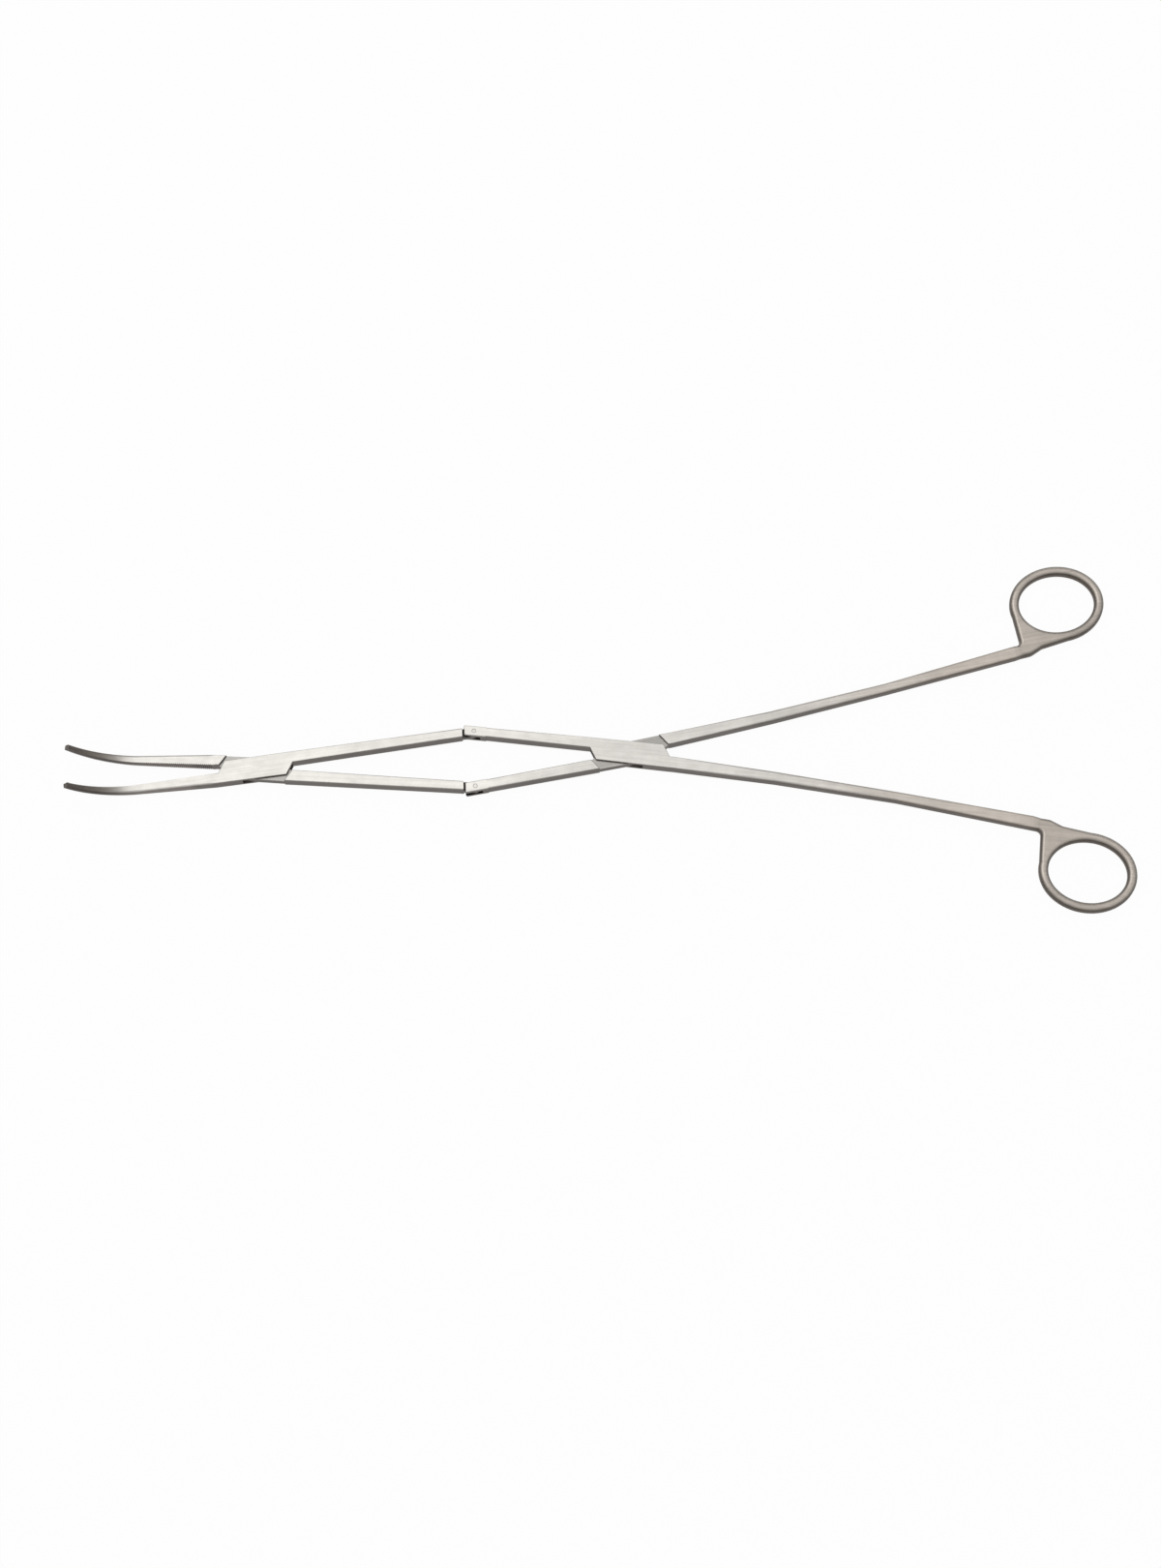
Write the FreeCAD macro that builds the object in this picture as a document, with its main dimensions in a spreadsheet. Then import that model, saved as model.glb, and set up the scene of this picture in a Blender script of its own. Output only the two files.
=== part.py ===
import FreeCAD, Part
import Sketcher
import math
import os

# A long double-jointed surgical clamp in stainless steel: two handle levers cross in one box lock, two jaw
# levers cross in another, and their arms meet end to end in two elbow hinges. All sizes are in millimetres and
# degrees.
#
# Frame: the handle lock's axis is Z through the origin, the clamp lies with its underside on Z = 0, the finger
# rings point along +X and the jaws along -X. The levers stand as they do half open.
#
# Each lever is drawn in its own frame: its lock's axis at the origin, and the lever turned so that both levers
# of a lock lie in line. A place on a lever is given as "along", from the lock towards its elbow, and "across",
# from the middle line to the side that its arm is on. The other limb, a shank or a jaw, has both values
# negative.

SIZES = [
    ("lever_thickness", 4.4, "height of the boxes and the arms"),
    ("handle_open", 8.4, "angle from the middle line to each handle lever"),
    ("handle_reach", 56.15, "handle lock to elbow, along the lever"),
    ("handle_elbow_offset", 2.4, "handle lock to elbow, across the lever"),
    ("jaw_reach", 78.58, "jaw lock to elbow, along the lever"),
    ("jaw_elbow_offset", 3.12, "jaw lock to elbow, across the lever"),
    ("handle_box_half_width", 4.1, "half the width of the handle lock's plates"),
    ("handle_box_corner", 11.6, "handle lock's axis to the corners of its plates, along the lever"),
    ("jaw_box_half_width", 4.1, "half the width of the jaw lock's plates"),
    ("jaw_box_corner", 10.7, "jaw lock's axis to the corners of its plates, along the lever"),
    ("shoulder_angle", 59.0, "slant of the plates' ends and of the shoulders that meet them"),
    ("shoulder_gap", 0.15, "gap between a plate's end and the shoulder beside it, levers in line"),
    ("tenon_thickness", 2.6, "height of the middle layer that passes through a lock"),
    ("layer_gap", 0.05, "gap above and below a tenon or a tongue"),
    ("web_reach", 5.0, "lock's axis to the solid corner that joins the two plates"),
    ("web_gap", 0.25, "gap between that corner and the tenon, along the lever"),
    ("root_inset", 0.3, "middle line to the inner edge of an arm, shank or jaw beside the box"),
    ("root_length", 1.2, "box's end to the start of an arm, shank or jaw"),
    ("lock_pin_radius", 1.6, "radius of the lock pins"),
    ("pin_chamfer", 0.12, "chamfer on the ends of the elbow pins"),
    ("elbow_pin_radius", 0.8, "radius of the elbow pins"),
    ("running_gap", 0.04, "radial clearance of a pin in the lever that turns on it"),
    ("open_pivot_gap", 0.16, "radial clearance at the lower elbow, where the linkage closes"),
    ("handle_arm_width", 3.5, "width of the handle levers' arms at the elbow"),
    ("handle_arm_root", 4.2, "middle line to the outer edge of a handle lever's arm beside the box"),
    ("shank_root", 4.6, "middle line to the outer edge of the shank beside the box"),
    ("jaw_arm_root", 4.4, "middle line to the outer edge of a jaw lever's arm beside the box"),
    ("jaw_root", 4.1, "middle line to the outer edge of the jaw beside the box"),
    ("jaw_arm_width", 3.4, "width of the jaw levers' arms at the elbow"),
    ("arm_corner", 0.45, "radius along the edges of the arms"),
    ("box_corner", 0.25, "radius along the edges of the boxes and elbow heads"),
    ("elbow_head_width", 3.8, "width of the forked elbow heads"),
    ("elbow_head_length", 4.4, "elbow pin to the back of its forked head"),
    ("elbow_end", 3.6, "elbow pin to the end of the fork"),
    ("elbow_end_corner", 0.6, "radius on the corners of the fork's end"),
    ("elbow_slot_back", 2.4, "elbow pin to the bottom of the fork's slot"),
    ("elbow_gap", 0.6, "gap between the fork's end and the shoulder of the jaw lever's arm"),
    ("tongue_thickness", 1.8, "height of the tongue inside the fork"),
    ("tongue_corner", 1.65, "radius on the corners of the tongue's end"),
    ("shank_upper", 52.0, "handle lock to the place where the shank has begun to slim, along the lever"),
    ("shank_upper_across", 4.1, "the same place, across the lever, at the middle of the shank"),
    ("shank_upper_width", 3.9, "width of the shank there"),
    ("shank_upper_height", 4.3, "height of the shank there"),
    ("shank_mid", 95.0, "handle lock to the slimmest place of the shank, along the lever"),
    ("shank_mid_across", 7.1, "the same place, across the lever, at the middle of the shank"),
    ("shank_mid_width", 3.5, "width of the shank at its slimmest"),
    ("shank_mid_height", 4.1, "height of the shank at its slimmest"),
    ("shank_end", 143.5, "handle lock to the end of the shank, along the lever"),
    ("shank_end_across", 11.95, "the same place, across the lever, at the middle of the shank"),
    ("shank_end_width", 4.75, "width of the shank at its end"),
    ("shank_end_height", 3.9, "height of the shank at its end"),
    ("shank_corner", 1.0, "radius along the edges of the shank"),
    ("shank_end_taper", 4.0, "length over which the shank's end sinks into the stem"),
    ("shank_end_sink", 0.24, "how far the shank has sunk into the stem at the end of that length"),
    ("ring_along", 163.3, "handle lock to the middle of the finger ring, along the lever"),
    ("ring_across", 28.35, "handle lock to the middle of the finger ring, across the lever"),
    ("ring_half_length", 15.45, "half the length of the oval down the middle of the ring's bar"),
    ("ring_half_width", 13.1, "half the width of that oval"),
    ("ring_bar_width", 3.4, "width of the ring's bar"),
    ("ring_bar_height", 3.8, "height of the ring's bar"),
    ("ring_corner", 1.5, "radius along the edges of the ring's bar"),
    ("stem_lap", 1.0, "how far the stem reaches back inside the shank"),
    ("stem_sink", 0.08, "how far the stem's surface starts below the shank's"),
    ("stem_lean", 0.48, "how far the stem's corners lie further out than the edges of the shank's end"),
    ("stem_inset", 0.2, "how far inside the ring's edge the stem's straight sides end"),
    ("stem_toe", 2.0, "middle of the ring to the far end of the stem's foot, along the lever"),
    ("stem_heel_along", 9.4, "middle of the ring to the near end of the stem's foot, along the lever"),
    ("stem_heel_across", 16.2, "the same place, across the lever"),
    ("stem_bump_along", 13.9, "middle of the ring to the bump on the stem's inner side, along the lever"),
    ("stem_fillet", 1.8, "radius in the corner between the shank and the ring"),
    ("stem_bump_radius", 4.0, "radius of the bump and of the hollow beside it"),
    ("jaw_straight", 42.3, "jaw lock to the start of the jaw's curve"),
    ("jaw_curve_radius", 31.0, "radius of the jaw's curve, at the middle of its height"),
    ("jaw_curve_angle", 50.0, "angle of the jaw's curve"),
    ("jaw_base", 17.0, "jaw lock to the widest place of the jaw"),
    ("jaw_base_width", 4.0, "width of the jaw there"),
    ("jaw_base_height", 4.2, "height of the jaw there"),
    ("jaw_mid_width", 2.85, "width of the jaw where its curve starts"),
    ("jaw_mid_height", 3.0, "height of the jaw where its curve starts"),
    ("jaw_lift", 0.1, "height of the jaw's underside above the underside of the boxes"),
    ("jaw_tip_width", 1.65, "width of the jaw at its tip"),
    ("jaw_tip_height", 2.0, "height of the jaw at its tip"),
    ("jaw_corner", 0.8, "radius along the back of the jaw at its base"),
    ("jaw_tip_corner", 0.5, "radius along the back of the jaw at its tip"),
    ("grip_gap", 0.2, "middle line to each grip face"),
    ("tooth_pitch", 0.7, "distance from groove to groove of the serration"),
    ("tooth_start", 15.3, "jaw lock to the serration's first groove"),
    ("tooth_groove", 0.54, "width of a groove of the serration"),
    ("tooth_depth", 0.24, "depth of a groove of the serration"),
]

# Values that follow from the sizes above. Both elbows lie as far from the middle line seen from either lock.
DERIVED = [
    ("handle_arm", "sqrt(handle_reach ^ 2 + handle_elbow_offset ^ 2)", "handle lock to elbow, straight"),
    ("jaw_arm", "sqrt(jaw_reach ^ 2 + jaw_elbow_offset ^ 2)", "jaw lock to elbow, straight"),
    ("handle_slope", "handle_open + atan(handle_elbow_offset / handle_reach) / 1 deg",
     "angle from the middle line to the line between handle lock and elbow"),
    ("jaw_slope", "asin(handle_arm * sin(handle_slope) / jaw_arm) / 1 deg",
     "angle from the middle line to the line between jaw lock and elbow"),
    ("jaw_open", "jaw_slope - atan(jaw_elbow_offset / jaw_reach) / 1 deg",
     "angle from the middle line to each jaw lever"),
    ("elbow_x", "-handle_arm * cos(handle_slope)", "handle lock to both elbows, along the clamp"),
    ("elbow_y", "handle_arm * sin(handle_slope)", "middle line to each elbow"),
    ("jaw_lock_x", "elbow_x - jaw_arm * cos(jaw_slope)", "handle lock to jaw lock, along the clamp"),
    ("shoulder_slope", "1 / tan(shoulder_angle)", "run of a slanted plate end per millimetre across"),
    ("handle_lean", "tan(handle_open)", "run of the fork's end per millimetre across"),
    ("jaw_lean", "tan(jaw_open)", "run of the jaw lever's shoulder per millimetre across"),
    ("jaw_middle", "jaw_lift + jaw_mid_height / 2", "middle of the jaw's height where its curve starts"),
    ("tooth_count", "floor((jaw_straight - tooth_start) / tooth_pitch)",
     "grooves on the straight part of a jaw"),
    ("tooth_turn", "tooth_pitch / jaw_curve_radius * 180 / pi", "angle from groove to groove on the curve"),
    ("curve_tooth_count", "floor(jaw_curve_angle / tooth_turn)", "grooves on the curve of a jaw"),
]

doc = FreeCAD.newDocument("Clamp")
sheet = doc.addObject("Spreadsheet::Sheet", "Dimensions")
rows = [(alias, str(value), meaning) for alias, value, meaning in SIZES]
rows += [(alias, "=" + formula, meaning) for alias, formula, meaning in DERIVED]
for row, (alias, content, meaning) in enumerate(rows, start=1):
    sheet.set(f"A{row}", meaning)
    sheet.set(f"B{row}", content)
    sheet.setAlias(f"B{row}", alias)
doc.recompute()


class Size:
    """A value of the model together with the formula that the document keeps for it."""

    def __init__(self, value, formula):
        self.value = value
        self.formula = formula

    def __add__(self, other):
        other = as_size(other)
        return Size(self.value + other.value, f"({self.formula} + {other.formula})")

    def __sub__(self, other):
        other = as_size(other)
        return Size(self.value - other.value, f"({self.formula} - {other.formula})")

    def __mul__(self, other):
        other = as_size(other)
        return Size(self.value * other.value, f"{self.formula} * {other.formula}")

    def __truediv__(self, other):
        other = as_size(other)
        return Size(self.value / other.value, f"{self.formula} / {other.formula}")

    def __neg__(self):
        return Size(-self.value, f"(0 - {self.formula})")


def as_size(number):
    return number if isinstance(number, Size) else Size(float(number), f"({number})")


def sine(angle):
    return Size(math.sin(math.radians(angle.value)), f"sin({angle.formula})")


def cosine(angle):
    return Size(math.cos(math.radians(angle.value)), f"cos({angle.formula})")


S = {alias: Size(float(sheet.get(alias)), f"Dimensions.{alias}") for alias, content, meaning in rows}
ZERO = as_size(0)


class Lever:
    """A body with the signs that turn "along" and "across" into its own X and Y."""

    def __init__(self, label, along, across):
        self.body = doc.addObject("PartDesign::Body", label)
        self.body.Label = label
        self.body.AllowCompound = True
        self.along = along
        self.across = across

    def stand(self, x, turn, y=None):
        """Puts the finished body where it belongs in the clamp, turned about its own upright axis."""
        y = y or ZERO
        axis = FreeCAD.Vector(0, 0, 1)
        self.body.Placement = FreeCAD.Placement(FreeCAD.Vector(x.value, y.value, 0),
                                                FreeCAD.Rotation(axis, turn.value))
        self.body.setExpression("Placement.Base.x", x.formula)
        self.body.setExpression("Placement.Base.y", y.formula)
        self.body.setExpression("Placement.Rotation.Angle", turn.formula)

    def origin_plane(self, role):
        return next(f for f in self.body.Origin.OriginFeatures if f.Role == role)

    def sketch(self, name, role="XY_Plane", lift=ZERO, shift=ZERO, turn=None):
        """A sketch on an origin plane, lifted off it, shifted along its own Y and turned about its own X."""
        sketch = self.body.newObject("Sketcher::SketchObject", f"{self.body.Name}_{name}")
        sketch.AttachmentSupport = [(self.origin_plane(role), "")]
        sketch.MapMode = "FlatFace"
        angle = turn.value if turn else 0
        place = FreeCAD.Vector(0, shift.value, lift.value)
        sketch.AttachmentOffset = FreeCAD.Placement(place, FreeCAD.Rotation(FreeCAD.Vector(1, 0, 0), angle))
        sketch.setExpression("AttachmentOffset.Base.y", shift.formula)
        sketch.setExpression("AttachmentOffset.Base.z", lift.formula)
        if turn:
            sketch.setExpression("AttachmentOffset.Rotation.Angle", turn.formula)
        return sketch

    def place(self, corners):
        """Corners given along and across, as corners in the body's own X and Y."""
        return [(a * self.along, c * self.across, *rest) for a, c, *rest in corners]

    def feature(self, kind, name, **values):
        """A feature of the body: a Size is bound to the sheet, anything else is set as it is."""
        feature = self.body.newObject(f"PartDesign::{kind}", f"{self.body.Name}_{name}")
        for key, value in values.items():
            if isinstance(value, Size):
                feature.setExpression(key, value.formula)
            else:
                setattr(feature, key, value)
        return feature

    def slab(self, name, corners, height, lift=ZERO):
        sketch = self.sketch(name + "_outline", lift=lift)
        outline(sketch, self.place(corners))
        return self.feature("Pad", name, Profile=sketch, Length=height)

    def middle_slab(self, name, corners, height):
        """A slab half way up the lever, such as a tenon or a tongue."""
        sketch = self.sketch(name + "_outline", lift=S["lever_thickness"] / 2)
        outline(sketch, self.place(corners))
        return self.feature("Pad", name, Profile=sketch, Length=height, Midplane=True)

    def middle_slot(self, name, corners, height):
        sketch = self.sketch(name + "_outline", lift=S["lever_thickness"] / 2)
        outline(sketch, self.place(corners))
        return self.cut("Pocket", name, Profile=sketch, Length=height, Midplane=True)

    def trim(self, name, corners):
        """Takes away everything above and below an outline."""
        return self.middle_slot(name, corners, S["lever_thickness"] * 2)

    def cut(self, kind, name, **values):
        """A feature that has to take material away."""
        doc.recompute()
        before = self.body.Shape.Volume
        feature = self.feature(kind, name, **values)
        self.body.Tip = feature
        doc.recompute()
        if self.body.Shape.Volume >= before:
            raise RuntimeError(f"{feature.Name} takes nothing away")
        return feature

    def round_edges(self, name, feature, radius, wanted):
        """Rounds those edges of the newest feature that the test picks."""
        return self.feature("Fillet", name, Base=self.picked(feature, wanted), Radius=radius)

    def break_edges(self, name, feature, size, wanted):
        """Chamfers those edges of the newest feature that the test picks."""
        return self.feature("Chamfer", name, Base=self.picked(feature, wanted), Size=size)

    def picked(self, feature, wanted):
        doc.recompute()
        return (feature, [f"Edge{i}" for i, e in enumerate(feature.Shape.Edges, start=1) if wanted(e)])

    def bar_section(self, name, along, inner, outer, height, corner, middle, turn=None, flat_inside=False):
        """One cross-section of a limb: from its inner to its outer edge across, about a middle height."""
        sketch = self.sketch(name, "YZ_Plane", lift=along * self.along, shift=middle, turn=turn)
        inside = None if flat_inside else corner
        half = height / 2
        corners = [
            (inner * self.across, -half, inside),
            (outer * self.across, -half, corner),
            (outer * self.across, half, corner),
            (inner * self.across, half, inside),
        ]
        outline(sketch, corners)
        return sketch

    def limb(self, name, sections, ruled):
        return self.feature("AdditiveLoft", name, Profile=sections[0], Sections=sections[1:], Ruled=ruled)

    def bore(self, name, along, across, radius):
        """A hole through the whole lever."""
        sketch = self.sketch(name + "_circle", lift=S["lever_thickness"] / 2)
        circle(sketch, along * self.along, across * self.across, radius)
        return self.cut("Pocket", name, Profile=sketch, Length=S["lever_thickness"] * 2, Midplane=True)


def bind(sketch, constraint, size):
    index = sketch.addConstraint(constraint)
    sketch.setExpression(f"Constraints[{index}]", size.formula)


def pin_point(sketch, geometry, vertex, x, y):
    """Holds one point of a sketch at a place that the sheet gives."""
    bind(sketch, Sketcher.Constraint("DistanceX", -1, 1, geometry, vertex, x.value), x)
    bind(sketch, Sketcher.Constraint("DistanceY", -1, 1, geometry, vertex, y.value), y)


def outline(sketch, corners):
    """A closed outline of straight sides; a corner with a radius is rounded by a tangent arc."""
    count = len(corners)
    points = [FreeCAD.Vector(as_size(x).value, as_size(y).value, 0) for x, y, *radius in corners]
    radii = [corner[2] if len(corner) > 2 else None for corner in corners]
    # where each rounded corner's arc leaves the side before it and meets the side after it
    ends = []
    for i, point in enumerate(points):
        before = (points[i - 1] - point).normalize()
        after = (points[(i + 1) % count] - point).normalize()
        if radii[i] is None:
            ends.append((point, point))
            continue
        half_turn = before.getAngle(after) / 2
        reach = as_size(radii[i]).value / math.tan(half_turn)
        ends.append((point + before * reach, point + after * reach))
    sides = []
    for i in range(count):
        side = Part.LineSegment(ends[i][1], ends[(i + 1) % count][0])
        sides.append(sketch.addGeometry(side, False))
    for i, point in enumerate(points):
        x, y = as_size(corners[i][0]), as_size(corners[i][1])
        if radii[i] is None:
            sketch.addConstraint(Sketcher.Constraint("Coincident", sides[i - 1], 2, sides[i], 1))
            pin_point(sketch, sides[i], 1, x, y)
            continue
        mark = sketch.addGeometry(Part.Point(point), True)
        pin_point(sketch, mark, 1, x, y)
        sketch.addConstraint(Sketcher.Constraint("PointOnObject", mark, 1, sides[i - 1]))
        sketch.addConstraint(Sketcher.Constraint("PointOnObject", mark, 1, sides[i]))
        radius = as_size(radii[i])
        inward = ((ends[i][0] + ends[i][1]) * 0.5 - point).normalize()
        half_turn = (ends[i][0] - point).getAngle(ends[i][1] - point) / 2
        centre = point + inward * (radius.value / math.sin(half_turn))
        middle = centre - inward * radius.value
        arc = sketch.addGeometry(Part.Arc(ends[i][0], middle, ends[i][1]), False)
        first = 1 if sketch.getPoint(arc, 1).distanceToPoint(ends[i][0]) < 1e-6 else 2
        sketch.addConstraint(Sketcher.Constraint("Tangent", sides[i - 1], 2, arc, first))
        sketch.addConstraint(Sketcher.Constraint("Tangent", sides[i], 1, arc, 3 - first))
        bind(sketch, Sketcher.Constraint("Radius", arc, radius.value), radius)


def circle(sketch, x, y, radius):
    centre = FreeCAD.Vector(x.value, y.value, 0)
    curve = sketch.addGeometry(Part.Circle(centre, FreeCAD.Vector(0, 0, 1), radius.value))
    pin_point(sketch, curve, 3, x, y)
    bind(sketch, Sketcher.Constraint("Radius", curve, radius.value), radius)


def oval(sketch, x, y, half_length, half_width):
    """An ellipse with its long axis along X."""
    centre = FreeCAD.Vector(x.value, y.value, 0)
    long_end = centre + FreeCAD.Vector(half_length.value, 0, 0)
    short_end = centre + FreeCAD.Vector(0, half_width.value, 0)
    curve = sketch.addGeometry(Part.Ellipse(long_end, short_end, centre), False)
    sketch.exposeInternalGeometry(curve)
    long_axis = curve + 1
    short_axis = curve + 2
    pin_point(sketch, curve, 3, x, y)
    sketch.addConstraint(Sketcher.Constraint("Horizontal", long_axis))
    bind(sketch, Sketcher.Constraint("Distance", long_axis, 2 * half_length.value), half_length * 2)
    bind(sketch, Sketcher.Constraint("Distance", short_axis, 2 * half_width.value), half_width * 2)


def is_level(edge):
    """True for an edge that lies in one level plane and doesn't run straight across the lever."""
    return edge.BoundBox.ZLength < 1e-6 and edge.BoundBox.XLength > 1e-6


def slant(height):
    """How far the slanted end of a plate runs along the lever over a height across it."""
    return height * S["shoulder_slope"]


def slotted_box(lever, half_width, corner, arm_root, limb_root):
    """The half of a lock that the other lever passes through, still solid. Returns where the limbs start."""
    inset = S["root_inset"]
    end = corner + slant(half_width + inset)
    start = end + S["root_length"]
    box = lever.slab("box", [
        (start, arm_root),
        (start, inset),
        (end, inset),
        (corner, -half_width),
        (-end, -limb_root),
        (-start, -limb_root),
        (-start, -inset),
        (-end, -inset),
        (-corner, half_width),
        (end, arm_root),
    ], S["lever_thickness"])
    lever.round_edges("box_edges", box, S["box_corner"], is_level)
    return start


def box_slot(lever, half_width, corner):
    """The way through a slotted box, open at both sides and closed at two corners that join its plates."""
    web_start = corner + slant(half_width)
    reach = S["web_reach"]
    past = half_width * 2
    lever.middle_slot("slot", [
        (web_start + past, -past),
        (web_start + past, ZERO),
        (web_start, ZERO),
        (reach, half_width),
        (reach, past),
        (-web_start - past, past),
        (-web_start - past, ZERO),
        (-web_start, ZERO),
        (-reach, -half_width),
        (-reach, -past),
    ], S["tenon_thickness"] + S["layer_gap"] * 2)


def tenon_box(lever, half_width, corner, arm_root, limb_root):
    """The half of a lock that passes through the other: two shoulders with a thin tenon between them."""
    inset = S["root_inset"]
    start = corner + slant(half_width + inset) + S["root_length"]
    shoulder_inside = corner + slant(half_width - inset) + S["shoulder_gap"]
    arm_shoulder = corner - slant(arm_root - half_width) + S["shoulder_gap"]
    limb_shoulder = corner - slant(limb_root - half_width) + S["shoulder_gap"]
    for name, sign, shoulder, edge in (
        ("arm_shoulder", 1, arm_shoulder, arm_root),
        ("limb_shoulder", -1, limb_shoulder, limb_root),
    ):
        block = lever.slab(name, [
            (start * sign, edge * sign),
            (start * sign, inset * sign),
            (shoulder_inside * sign, inset * sign),
            (shoulder * sign, edge * sign),
        ], S["lever_thickness"])
        lever.round_edges(name + "_edges", block, S["box_corner"],
                          lambda e: is_level(e) and along_of(lever, e) * sign > 0)
    tip = S["web_reach"] - S["web_gap"]
    overlap = S["root_length"] / 2
    lever.middle_slab("tenon", [
        (shoulder_inside + overlap, inset),
        (arm_shoulder + overlap, arm_root),
        (-tip, half_width),
        (-shoulder_inside, -inset),
        (-shoulder_inside - overlap, -inset),
        (-limb_shoulder - overlap, -limb_root),
        (tip, -half_width),
        (shoulder_inside, inset),
    ], S["tenon_thickness"])
    return start


def along_of(lever, edge):
    return edge.BoundBox.Center.x * lever.along


def arm(lever, start, start_edge, end, end_across, end_width):
    """The straight tapering arm from the box to the elbow."""
    middle = S["lever_thickness"] / 2
    half = end_width / 2
    root = lever.bar_section("arm_root", start, S["root_inset"], start_edge, S["lever_thickness"],
                             S["box_corner"], middle)
    tip = lever.bar_section("arm_tip", end, end_across - half, end_across + half, S["lever_thickness"],
                            S["arm_corner"], middle)
    lever.limb("arm", [root, tip], True)


def fork(lever):
    """The forked head at the end of a handle lever's arm, which holds the jaw lever's tongue."""
    head_start = S["handle_reach"] - S["elbow_head_length"]
    pin_across = S["handle_elbow_offset"]
    half_head = S["elbow_head_width"] / 2
    # the fork's end stands square to the clamp's middle line while the levers stand half open
    lean = half_head * S["handle_lean"]
    fork_end = S["handle_reach"] + S["elbow_end"]
    head = lever.slab("elbow_head", [
        (head_start, pin_across - half_head),
        (head_start, pin_across + half_head),
        (fork_end + lean, pin_across + half_head, S["elbow_end_corner"]),
        (fork_end - lean, pin_across - half_head, S["elbow_end_corner"]),
    ], S["lever_thickness"])
    # the head's own start lies inside the arm and keeps its edges
    lever.break_edges("elbow_head_edges", head, S["box_corner"],
                      lambda e: is_level(e) and along_of(lever, e) > head_start.value + S["box_corner"].value)
    slot_start = S["handle_reach"] - S["elbow_slot_back"]
    past = half_head * 2
    lever.middle_slot("fork_slot", [
        (slot_start, pin_across - past),
        (slot_start, pin_across + past),
        (fork_end + past, pin_across + past),
        (fork_end + past, pin_across - past),
    ], S["tongue_thickness"] + S["layer_gap"] * 2)


def tongue(lever):
    """The shoulder at the end of a jaw lever's arm, and the thin round-ended tongue beyond it."""
    pin_across = S["jaw_elbow_offset"]
    half_arm = S["jaw_arm_width"] / 2
    past = half_arm * 2
    arm_end = S["jaw_reach"] - S["elbow_end"]
    shoulder = arm_end - S["elbow_gap"]
    # the shoulder stands square to the clamp's middle line while the levers stand half open
    lean = past * S["jaw_lean"]
    lever.trim("arm_shoulder_cut", [
        (shoulder - lean, pin_across - past),
        (shoulder + lean, pin_across + past),
        (arm_end + past, pin_across + past),
        (arm_end + past, pin_across - past),
    ])
    tip = S["jaw_reach"] + half_arm
    lever.middle_slab("tongue", [
        (shoulder - past, pin_across - half_arm),
        (tip, pin_across - half_arm, S["tongue_corner"]),
        (tip, pin_across + half_arm, S["tongue_corner"]),
        (shoulder - past, pin_across + half_arm),
    ], S["tongue_thickness"])


def finger_ring(lever):
    """The oval finger ring and the flat stem that leads into it from the shank."""
    height = S["ring_bar_height"]
    half_bar = S["ring_bar_width"] / 2
    ring_x = -S["ring_along"] * lever.along
    ring_y = -S["ring_across"] * lever.across
    outside = lever.sketch("ring_outside")
    oval(outside, ring_x, ring_y, S["ring_half_length"] + half_bar, S["ring_half_width"] + half_bar)
    lever.feature("Pad", "ring_disc", Profile=outside, Length=height)
    half_end = S["shank_end_width"] / 2 - S["stem_sink"]
    start = -S["shank_end"] + S["stem_lap"]
    outer = -S["shank_end_across"] - half_end
    inner = -S["shank_end_across"] + half_end
    side = -S["ring_along"] + S["ring_half_length"] + half_bar - S["stem_inset"]
    foot = -S["ring_across"] + S["ring_half_width"] + half_bar - S["stem_inset"]
    bump_radius = S["stem_bump_radius"]
    lever.slab("stem", [
        (start, outer),
        (side, outer - S["stem_lean"], S["stem_fillet"]),
        (side, -S["ring_across"]),
        (-S["ring_along"], -S["ring_across"]),
        (-S["ring_along"] - S["stem_toe"], foot),
        (-S["ring_along"] + S["stem_heel_along"], -S["ring_across"] + S["stem_heel_across"], bump_radius),
        (-S["ring_along"] + S["stem_bump_along"], inner - S["stem_lean"], bump_radius),
        (start, inner),
    ], height)
    opening = lever.sketch("finger_opening_oval")
    oval(opening, ring_x, ring_y, S["ring_half_length"] - half_bar, S["ring_half_width"] - half_bar)
    cut = lever.cut("Pocket", "finger_opening", Profile=opening, Length=height, Reversed=True)
    lever.round_edges("ring_edges", cut, S["ring_corner"], is_level)


def shank(lever, start):
    """The long slim shank from the box to the stem of the finger ring."""
    middle = S["lever_thickness"] / 2
    corner = S["shank_corner"]
    sections = [lever.bar_section("shank_root", -start, -S["root_inset"], -S["shank_root"],
                                  S["lever_thickness"], S["box_corner"], middle)]
    for place in ("shank_upper", "shank_mid", "shank_end"):
        across = -S[place + "_across"]
        half = S[place + "_width"] / 2
        sections.append(lever.bar_section(place, -S[place], across + half, across - half,
                                          S[place + "_height"], corner, middle))
    lever.limb("shank", sections, True)
    # the last stretch goes down inside the stem
    across = -S["shank_end_across"] - S["stem_lean"]
    half = S["shank_end_width"] / 2 - S["shank_end_sink"]
    height = S["ring_bar_height"] - S["shank_end_sink"] * 2
    inside = lever.bar_section("shank_inside", -S["shank_end"] - S["shank_end_taper"], across + half,
                               across - half, height, corner, S["ring_bar_height"] / 2)
    lever.limb("shank_into_stem", [sections[-1], inside], True)


def jaw_section(lever, name, along, width, height, corner, middle, turn=None):
    """One cross-section of a jaw, with its grip face towards the middle line."""
    grip = -S["grip_gap"]
    return lever.bar_section(name, along, grip, grip - width, height, corner, middle, turn, True)


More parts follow.
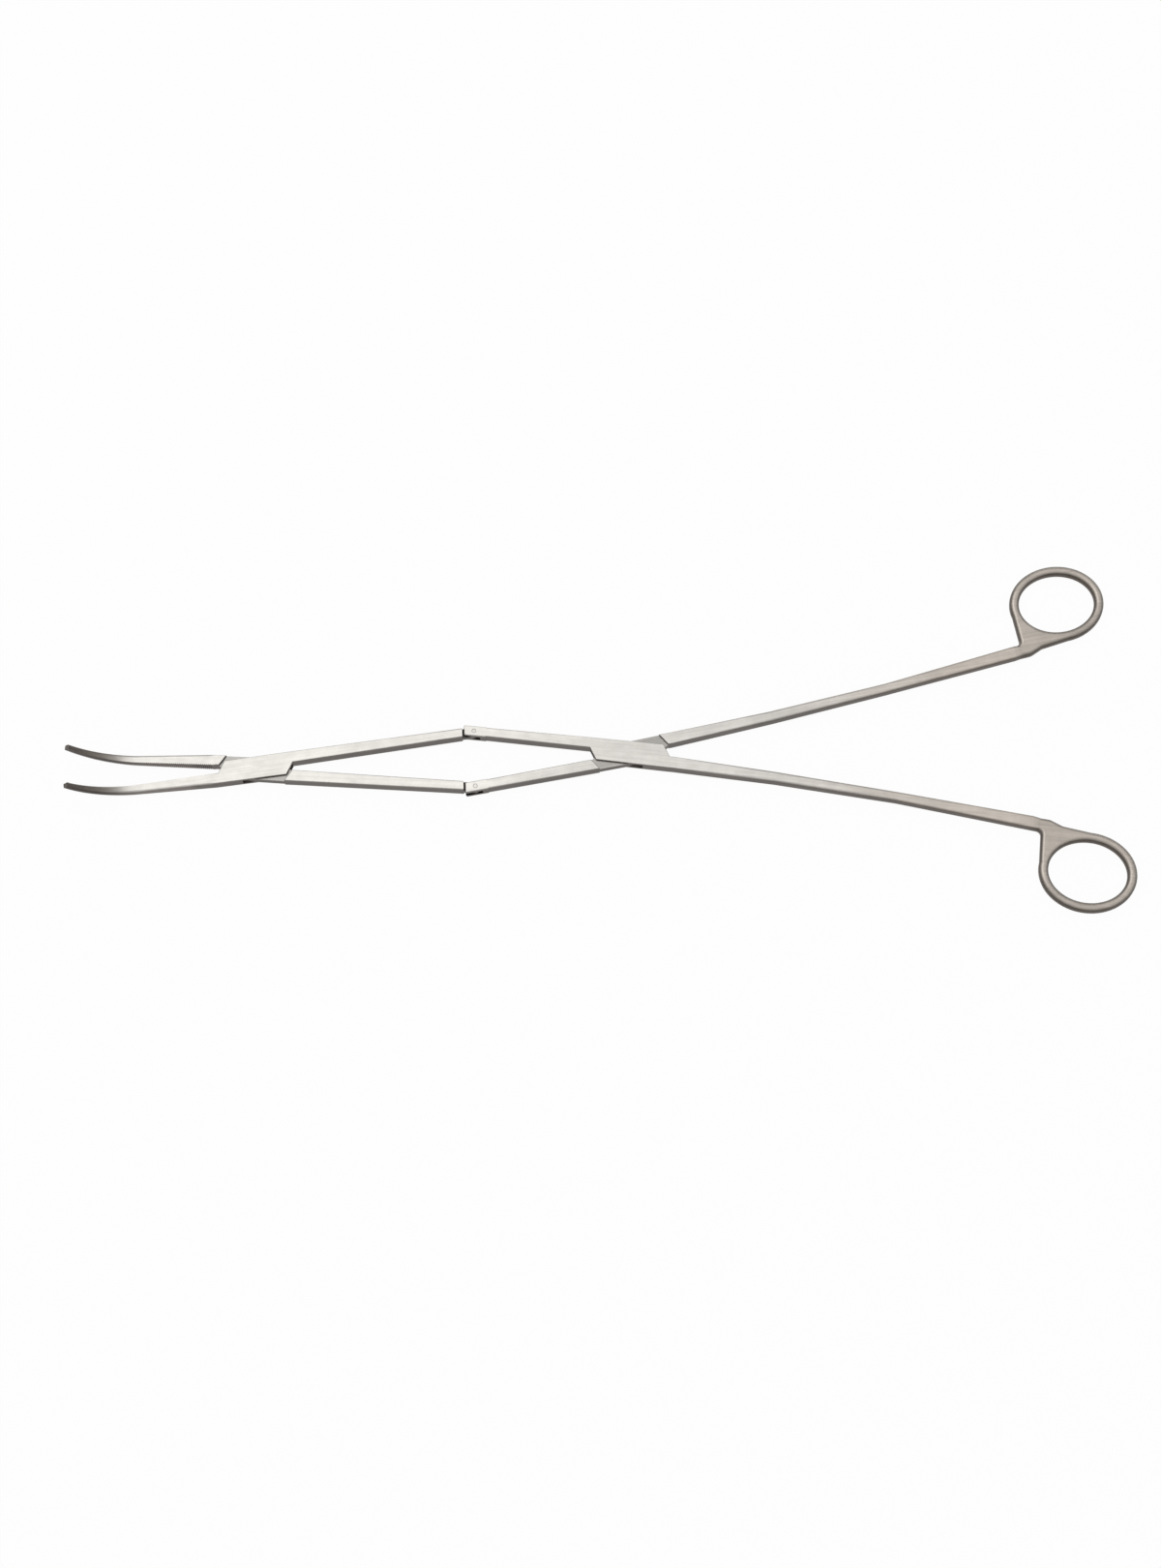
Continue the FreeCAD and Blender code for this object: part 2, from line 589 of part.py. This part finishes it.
def jaw(lever, start):
    """The jaw: a straight tapering part, then an even curve upwards, with a flat grip face."""
    straight = S["jaw_straight"]
    root = lever.bar_section("jaw_root_end", -start, -S["root_inset"], -S["jaw_root"], S["lever_thickness"],
                             S["box_corner"], S["lever_thickness"] / 2, None, True)
    widest = jaw_section(lever, "jaw_widest", -S["jaw_base"], S["jaw_base_width"], S["jaw_base_height"],
                         S["jaw_corner"], S["jaw_lift"] + S["jaw_base_height"] / 2)
    bend = jaw_section(lever, "jaw_bend", -straight, S["jaw_mid_width"], S["jaw_mid_height"], S["jaw_corner"],
                       S["jaw_middle"])
    lever.limb("jaw_straight", [root, widest, bend], True)
    radius = S["jaw_curve_radius"]
    steps = 5
    curve = [bend]
    for step in range(1, steps + 1):
        share = step / steps
        turned = S["jaw_curve_angle"] * share
        width = S["jaw_mid_width"] + (S["jaw_tip_width"] - S["jaw_mid_width"]) * share
        height = S["jaw_mid_height"] + (S["jaw_tip_height"] - S["jaw_mid_height"]) * share
        corner = S["jaw_corner"] + (S["jaw_tip_corner"] - S["jaw_corner"]) * share
        along = -straight - radius * sine(turned)
        rise = S["jaw_middle"] + radius - radius * cosine(turned)
        curve.append(jaw_section(lever, f"jaw_curve_{step}", along, width, height, corner, rise, turned))
    lever.limb("jaw_curve", curve, False)


def serration(lever, shift):
    """Fine grooves across the grip face, evenly spaced along the straight part and round the curve."""
    half = S["tooth_groove"] / 2
    grip = -S["grip_gap"]
    first = S["jaw_straight"] - S["tooth_pitch"] * shift
    above = S["tooth_depth"] / 4
    groove = lever.middle_slot("groove", [
        (-first - half, grip + above),
        (-first, grip - S["tooth_depth"]),
        (-first + half, grip + above),
    ], S["jaw_mid_height"] * 2)
    lever.cut("LinearPattern", "straight_grooves", Originals=[groove], Mode="Spacing",
              Direction=(groove.Profile[0], ["H_Axis"]), Offset=S["tooth_pitch"],
              Occurrences=S["tooth_count"])
    # the curve's axis is a level line across the clamp, straight above the start of the curve
    hub = lever.sketch("curve_axis", lift=S["jaw_middle"] + S["jaw_curve_radius"])
    hub_x = -S["jaw_straight"] * lever.along
    ends = [FreeCAD.Vector(hub_x.value, y, 0) for y in (0, 1)]
    line = hub.addGeometry(Part.LineSegment(*ends), True)
    pin_point(hub, line, 1, hub_x, ZERO)
    pin_point(hub, line, 2, hub_x, as_size(1))
    lever.cut("PolarPattern", "curve_grooves", Originals=[groove], Mode="Spacing", Axis=(hub, ["Axis0"]),
              Offset=S["tooth_turn"], Occurrences=S["curve_tooth_count"])


def handle_lever(label, across, slotted):
    lever = Lever(label, -1, across)
    half_width = S["handle_box_half_width"]
    corner = S["handle_box_corner"]
    finger_ring(lever)
    build_box = slotted_box if slotted else tenon_box
    start = build_box(lever, half_width, corner, S["handle_arm_root"], S["shank_root"])
    shank(lever, start)
    arm(lever, start, S["handle_arm_root"], S["handle_reach"] - S["elbow_head_length"],
        S["handle_elbow_offset"], S["handle_arm_width"])
    fork(lever)
    if slotted:
        box_slot(lever, half_width, corner)
    lever.bore("lock_bore", ZERO, ZERO, S["lock_pin_radius"] + (ZERO if slotted else S["running_gap"]))
    lever.bore("elbow_bore", S["handle_reach"], S["handle_elbow_offset"], S["elbow_pin_radius"])
    lever.stand(ZERO, S["handle_open"] * -across)
    return lever


def jaw_lever(label, across, slotted, elbow_clearance, tooth_shift):
    lever = Lever(label, 1, across)
    half_width = S["jaw_box_half_width"]
    corner = S["jaw_box_corner"]
    build_box = slotted_box if slotted else tenon_box
    start = build_box(lever, half_width, corner, S["jaw_arm_root"], S["jaw_root"])
    arm(lever, start, S["jaw_arm_root"], S["jaw_reach"] - S["elbow_end"], S["jaw_elbow_offset"],
        S["jaw_arm_width"])
    tongue(lever)
    jaw(lever, start)
    serration(lever, tooth_shift)
    if slotted:
        box_slot(lever, half_width, corner)
    lever.bore("lock_bore", ZERO, ZERO, S["lock_pin_radius"] + (ZERO if slotted else S["running_gap"]))
    lever.bore("elbow_bore", S["jaw_reach"], S["jaw_elbow_offset"], S["elbow_pin_radius"] + elbow_clearance)
    lever.stand(S["jaw_lock_x"], S["jaw_open"] * across)
    return lever


def pin(label, radius, x, y, chamfer=None):
    """A rivet ground flush with the lever's faces."""
    rivet = Lever(label, 1, 1)
    sketch = rivet.sketch("circle")
    circle(sketch, ZERO, ZERO, radius)
    shaft = rivet.feature("Pad", "shaft", Profile=sketch, Length=S["lever_thickness"])
    if chamfer:
        rivet.break_edges("ends", shaft, chamfer, is_level)
    rivet.stand(x, ZERO, y)
    return rivet


parts = [
    handle_lever("lower_handle_lever", 1, True),
    handle_lever("upper_handle_lever", -1, False),
    jaw_lever("lower_jaw_lever", 1, True, S["running_gap"], 0),
    jaw_lever("upper_jaw_lever", -1, False, S["open_pivot_gap"], 0.5),
    pin("handle_lock_pin", S["lock_pin_radius"], ZERO, ZERO),
    pin("jaw_lock_pin", S["lock_pin_radius"], S["jaw_lock_x"], ZERO),
    pin("upper_elbow_pin", S["elbow_pin_radius"], S["elbow_x"], S["elbow_y"], S["pin_chamfer"]),
    pin("lower_elbow_pin", S["elbow_pin_radius"], S["elbow_x"], -S["elbow_y"], S["pin_chamfer"]),
]
doc.recompute()

for item in doc.Objects:
    if "Invalid" in item.State or "Error" in item.State:
        raise RuntimeError(f"{item.Name}: {item.State}")
os.makedirs("parts", exist_ok=True)
for part in parts:
    shape = part.body.Shape
    if shape.isNull() or not shape.isValid() or len(shape.Solids) != 1:
        raise RuntimeError(f"{part.body.Label} isn't one valid solid")
    shape.exportStep(f"parts/{part.body.Label}.step")
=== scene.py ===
import math

import bpy
from mathutils import Matrix, Vector

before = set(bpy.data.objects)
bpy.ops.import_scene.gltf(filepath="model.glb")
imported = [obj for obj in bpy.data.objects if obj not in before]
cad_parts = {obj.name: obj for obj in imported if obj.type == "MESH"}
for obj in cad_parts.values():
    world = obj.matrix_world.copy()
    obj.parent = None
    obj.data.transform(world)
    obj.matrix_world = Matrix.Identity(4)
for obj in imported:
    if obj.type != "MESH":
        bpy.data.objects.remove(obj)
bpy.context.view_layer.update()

# The two handle levers: each is forged in one piece of stainless steel, from the finger ring down the long
# shank and through the lock to the forked elbow. They are ground along their length, bead blasted and brushed
# by hand: pale on flat faces, browner where fingers rub the rings, with painted shade on the narrow sides.
handle_open = math.radians(8.4)
middle_height = 0.0022
tongue_face = 0.0010
tenon_face = 0.0013
lever_face = 0.0018
jaws_start = -0.154
jaws_fade = 0.003
brush_cells = (45, 1700, 1700)
grain_cells = 5200.0
cloud_cells = 42.0
mark_cells = 260.0
# how far the painted shade in seams and slots reaches
painted_shade_reach = 0.0011
relief_depth = 0.00002
pale_steel = (0.74, 0.715, 0.675)
# the colour of the narrow sides, painted shade and painted reflection
painted_side_shade = (0.180, 0.152, 0.136)
satin = 0.36
ring_tint = (0.97, 0.91, 0.86)
ring_start = 0.03
ring_end = 0.135


def node_maker(tree):
    """Returns a function that adds a node and fills its inputs, given by name or, as _0 and _1, by number."""
    def add(kind, settings=None, **inputs):
        node = tree.nodes.new("ShaderNode" + kind)
        for key, value in (settings or {}).items():
            setattr(node, key, value)
        for key, value in inputs.items():
            name = key.replace("_", " ")
            socket = node.inputs[int(name[1:])] if name[1:].isdigit() else node.inputs[name]
            if isinstance(value, bpy.types.NodeSocket):
                tree.links.new(value, socket)
            else:
                socket.default_value = value
        return node
    return add


def steel_finish_group():
    """Brushed and blasted steel: its colour with painted shade and reflection, its roughness and the height
    of its grain.
    """
    tree = bpy.data.node_groups.new("steel_finish", "ShaderNodeTree")
    for name in ("Top", "Side", "Far Tint And Shade"):
        colour = tree.interface.new_socket(name, in_out="INPUT", socket_type="NodeSocketColor")
        colour.default_value = (1, 1, 1, 1)
    for name in ("Far Start", "Far End", "Brush Turn", "Roughness"):
        tree.interface.new_socket(name, in_out="INPUT", socket_type="NodeSocketFloat")
    tree.interface.new_socket("Color", in_out="OUTPUT", socket_type="NodeSocketColor")
    for name in ("Roughness", "Height"):
        tree.interface.new_socket(name, in_out="OUTPUT", socket_type="NodeSocketFloat")
    add = node_maker(tree)
    given = tree.nodes.new("NodeGroupInput").outputs
    result = tree.nodes.new("NodeGroupOutput").inputs
    place = add("TexCoord").outputs

    # brush lines along the lever, the pits of the blasting, clouds where cloths have rubbed, and small marks
    along = add("VectorRotate", {"rotation_type": "Z_AXIS"}, Vector=place["Object"],
                Angle=given["Brush Turn"])
    stretched = add("Mapping", Vector=along.outputs[0], Scale=brush_cells)
    lines = add("TexNoise", Vector=stretched.outputs[0], Scale=1.0, Detail=4.0, Roughness=0.6)
    grain = add("TexNoise", Vector=place["Object"], Scale=grain_cells, Detail=2.0)
    clouds = add("TexNoise", Vector=place["Object"], Scale=cloud_cells, Detail=4.0, Roughness=0.55)
    marks = add("TexNoise", Vector=place["Object"], Scale=mark_cells, Detail=3.0, Roughness=0.7)

    # flat faces against narrow sides and rounded edges, told apart by how far they face up or down
    facing = add("SeparateXYZ", Vector=place["Normal"])
    level = add("Math", {"operation": "ABSOLUTE"}, _0=facing.outputs["Z"])
    flat = add("MapRange", {"interpolation_type": "SMOOTHSTEP"}, Value=level.outputs[0],
               From_Min=0.2, From_Max=0.98)
    # the narrow sides take the side colour, which is painted shade and painted reflection
    tone = add("Mix", {"data_type": "RGBA"}, _0=flat.outputs[0], _6=given["Side"], _7=given["Top"])

    # the far end of the lever takes a tint: a warmer one at the ring, and painted shade at the tip of the jaw
    spot = add("SeparateXYZ", Vector=place["Object"])
    far = add("MapRange", {"interpolation_type": "SMOOTHSTEP"}, Value=spot.outputs["X"],
              From_Min=given["Far Start"], From_Max=given["Far End"])
    tinted = add("Mix", {"data_type": "RGBA", "blend_type": "MULTIPLY"}, _0=far.outputs[0],
                 _6=tone.outputs[2], _7=given["Far Tint And Shade"])

    # an uneven tone from all four patterns, each with its own strength
    shade = 1.0
    for pattern, amount in ((clouds, 0.12), (lines, 0.18), (grain, 0.05), (marks, 0.08)):
        part = add("MapRange", Value=pattern.outputs["Fac"], From_Min=0.3, From_Max=0.7,
                   To_Min=1 - amount, To_Max=1 + amount / 3)
        shade = add("Math", {"operation": "MULTIPLY"}, _0=shade, _1=part.outputs[0]).outputs[0]
    shaded = add("VectorMath", {"operation": "SCALE"}, _0=tinted.outputs[2], Scale=shade)

    # painted shade on the sunk faces of the locks and elbows near the middle of the thickness, none at the
    # jaws
    height = add("Math", {"operation": "SUBTRACT"}, _0=spot.outputs["Z"], _1=middle_height)
    depth = add("Math", {"operation": "ABSOLUTE"}, _0=height.outputs[0])
    painted_recess_shade = add("MapRange", {"interpolation_type": "SMOOTHSTEP"}, Value=depth.outputs[0],
                  From_Min=tenon_face, From_Max=lever_face, To_Min=0.62, To_Max=1.0)
    deep = add("MapRange", Value=depth.outputs[0], From_Min=tongue_face, From_Max=tongue_face + 0.0002,
               To_Min=0.85, To_Max=0.0)
    tongue = add("Math", {"operation": "MULTIPLY"}, _0=flat.outputs[0], _1=deep.outputs[0])
    open_share = add("Math", {"operation": "SUBTRACT"}, _0=1.0, _1=tongue.outputs[0])
    shown = add("Math", {"operation": "MULTIPLY"}, _0=painted_recess_shade.outputs[0], _1=open_share.outputs[0])
    jaws = add("MapRange", Value=spot.outputs["X"], From_Min=jaws_start - jaws_fade, From_Max=jaws_start)
    sunk = add("Mix", {"data_type": "FLOAT"}, _0=jaws.outputs[0], _2=1.0, _3=shown.outputs[0])
    recess_shaded = add("VectorMath", {"operation": "SCALE"}, _0=shaded.outputs[0], Scale=sunk.outputs[0])

    # painted shade in the seams, slots and shoulders, darker where they are more closed in
    seam = add("AmbientOcclusion", {"samples": 6}, Distance=painted_shade_reach)
    painted_crevice_shade = add("MapRange", {"interpolation_type": "SMOOTHSTEP"}, Value=seam.outputs["AO"],
                From_Min=0.15, From_Max=0.62, To_Min=0.06, To_Max=1.0)
    crevice_shaded = add("VectorMath", {"operation": "SCALE"}, _0=recess_shaded.outputs[0], Scale=painted_crevice_shade.outputs[0])
    tree.links.new(crevice_shaded.outputs[0], result["Color"])

    # the brush lines are rougher and smoother in turn, and lines and pits both have a little height
    uneven = add("MapRange", Value=lines.outputs["Fac"], To_Min=-0.06, To_Max=0.06)
    rough = add("Math", {"operation": "ADD"}, _0=given["Roughness"], _1=uneven.outputs[0])
    tree.links.new(rough.outputs[0], result["Roughness"])
    relief = add("Math", {"operation": "MULTIPLY_ADD"}, _0=grain.outputs["Fac"], _1=0.5,
                 _2=lines.outputs["Fac"])
    tree.links.new(relief.outputs[0], result["Height"])
    return tree


steel_finish = steel_finish_group()


def satin_steel(name, top, brush_turn=0.0, far_tint_and_shade=(1, 1, 1), far_start=1.0, far_end=2.0):
    """One piece's steel, with its brush lines turned to run along it and the colour of its far end: a tint at
    a ring, painted shade at a jaw tip.
    """
    material = bpy.data.materials.new(name)
    material.use_nodes = True
    tree = material.node_tree
    shader = tree.nodes["Principled BSDF"]
    shader.inputs["Metallic"].default_value = 1.0
    finish = tree.nodes.new("ShaderNodeGroup")
    finish.node_tree = steel_finish
    given = {"Top": (*top, 1), "Side": (*painted_side_shade, 1), "Far Tint And Shade": (*far_tint_and_shade, 1), "Far Start": far_start,
             "Far End": far_end, "Brush Turn": brush_turn, "Roughness": satin}
    for socket, value in given.items():
        finish.inputs[socket].default_value = value
    bump = tree.nodes.new("ShaderNodeBump")
    bump.inputs["Strength"].default_value = 0.2
    bump.inputs["Distance"].default_value = relief_depth
    tree.links.new(finish.outputs["Color"], shader.inputs["Base Color"])
    tree.links.new(finish.outputs["Roughness"], shader.inputs["Roughness"])
    tree.links.new(finish.outputs["Height"], bump.inputs["Height"])
    tree.links.new(bump.outputs["Normal"], shader.inputs["Normal"])
    return material


def dress(node, material):
    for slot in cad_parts[node].material_slots:
        slot.material = material


for node, turn in (("lower_handle_lever", handle_open), ("upper_handle_lever", -handle_open)):
    dress(node, satin_steel(node + "_steel", pale_steel, turn, ring_tint, ring_start, ring_end))

# The two jaw levers: forged like the handles, from the tongue in the elbow through the second lock to the
# curved jaw. The jaws are ground thin and serrated last; painted shade darkens them towards their tips.
jaw_open = math.radians(5.46)
# the darker tip colour is painted shade
tip_painted_shade = (0.36, 0.33, 0.31)
tip_start = -0.172
tip_end = -0.190
for node, turn in (("lower_jaw_lever", -jaw_open), ("upper_jaw_lever", jaw_open)):
    dress(node, satin_steel(node + "_steel", pale_steel, turn, tip_painted_shade, tip_start, tip_end))

# The four rivets: turned pins of the same steel, pressed in, ground flush with the levers and brushed over
# with them, so that the two in the locks almost vanish and those in the elbows show a faint ring.
elbow_rivet_colour = (0.68, 0.655, 0.62)
lock_rivet = satin_steel("lock_rivet_steel", pale_steel)
elbow_rivet = satin_steel("elbow_rivet_steel", elbow_rivet_colour)
for node, steel in (("handle_lock_pin", lock_rivet), ("jaw_lock_pin", lock_rivet),
                    ("upper_elbow_pin", elbow_rivet), ("lower_elbow_pin", elbow_rivet)):
    dress(node, steel)

# The floor: a plain white sheet that the clamp lies on. To the camera and in the steel, lit_share of it
# shines white by itself and the rest is shaded paper, so the clamp's soft shadow can hardly be seen.
floor_size = 6
floor_height = -0.0002
paper_colour = (0.9, 0.9, 0.9, 1)
lit_share = 0.96
bpy.ops.mesh.primitive_plane_add(size=floor_size, location=(0, 0, floor_height))
floor = bpy.context.active_object
floor.name = "floor"
paper = bpy.data.materials.new("white_paper")
paper.use_nodes = True
paper_shader = paper.node_tree.nodes["Principled BSDF"]
paper_shader.inputs["Base Color"].default_value = paper_colour
paper_shader.inputs["Roughness"].default_value = 0.9
add_paper = node_maker(paper.node_tree)
ray = add_paper("LightPath").outputs
mirrored = add_paper("Math", {"operation": "MAXIMUM"}, _0=ray["Is Camera Ray"], _1=ray["Is Glossy Ray"])
seen = add_paper("Math", {"operation": "MAXIMUM"}, _0=mirrored.outputs[0], _1=ray["Is Transmission Ray"])
share = add_paper("Math", {"operation": "MULTIPLY"}, _0=seen.outputs[0], _1=lit_share)
white = add_paper("Emission", Color=(1, 1, 1, 1), Strength=1.0)
blend = add_paper("MixShader", _0=share.outputs[0], _1=paper_shader.outputs[0], _2=white.outputs[0])
paper.node_tree.links.new(blend.outputs[0], paper.node_tree.nodes["Material Output"].inputs["Surface"])
floor.data.materials.append(paper)

# The studio: an even pale ceiling that falls off towards the horizon, and one large soft box on the jaws'
# side, so that the steel is brightest at the jaws and greyer towards the rings.
horizon_light = 0.34
ceiling_light = 0.86
world = bpy.data.worlds.new("studio")
bpy.context.scene.world = world
world.use_nodes = True
add_sky = node_maker(world.node_tree)
direction = add_sky("SeparateXYZ", Vector=add_sky("TexCoord").outputs["Generated"])
dome = add_sky("MapRange", {"interpolation_type": "SMOOTHSTEP"}, Value=direction.outputs["Z"],
               To_Min=horizon_light, To_Max=ceiling_light)
background = world.node_tree.nodes["Background"]
background.inputs["Color"].default_value = (1, 1, 1, 1)
world.node_tree.links.new(dome.outputs[0], background.inputs["Strength"])

box_place = Vector((-0.30, 0.42, 0.98))
box_target = Vector((-0.10, 0, 0))
box_light = bpy.data.lights.new("soft_box", "AREA")
box_light.shape = "RECTANGLE"
box_light.size = 0.65
box_light.size_y = 0.6
box_light.energy = 1.1
soft_box = bpy.data.objects.new("soft_box", box_light)
bpy.context.collection.objects.link(soft_box)
soft_box.location = box_place
soft_box.rotation_euler = (box_target - box_place).to_track_quat("-Z", "Y").to_euler()

# The camera: on the near side, tilted 22 degrees from straight above and rolled a little, with the clamp in
# the middle of a tall frame.
tilt = math.radians(22)
roll = -0.041755
target = Vector((-0.01799, -0.01158, 0.0044))
distance = 0.9402
frame_height = 24
lens_to_frame = 1.697
view = Vector((0, -math.sin(tilt), math.cos(tilt)))
level_right = Vector((0, 1, 0)).cross(view).normalized()
level_up = view.cross(level_right)
right = level_right * math.cos(roll) + level_up * math.sin(roll)
up = level_up * math.cos(roll) - level_right * math.sin(roll)
camera = bpy.data.objects.new("camera", bpy.data.cameras.new("camera"))
bpy.context.collection.objects.link(camera)
turned = Matrix((right, up, view)).transposed()
camera.matrix_world = Matrix.Translation(target + view * distance) @ turned.to_4x4()
camera.data.sensor_fit = "VERTICAL"
camera.data.sensor_height = frame_height
camera.data.lens = frame_height * lens_to_frame
bpy.context.scene.camera = camera
bpy.context.scene.view_settings.view_transform = "Standard"
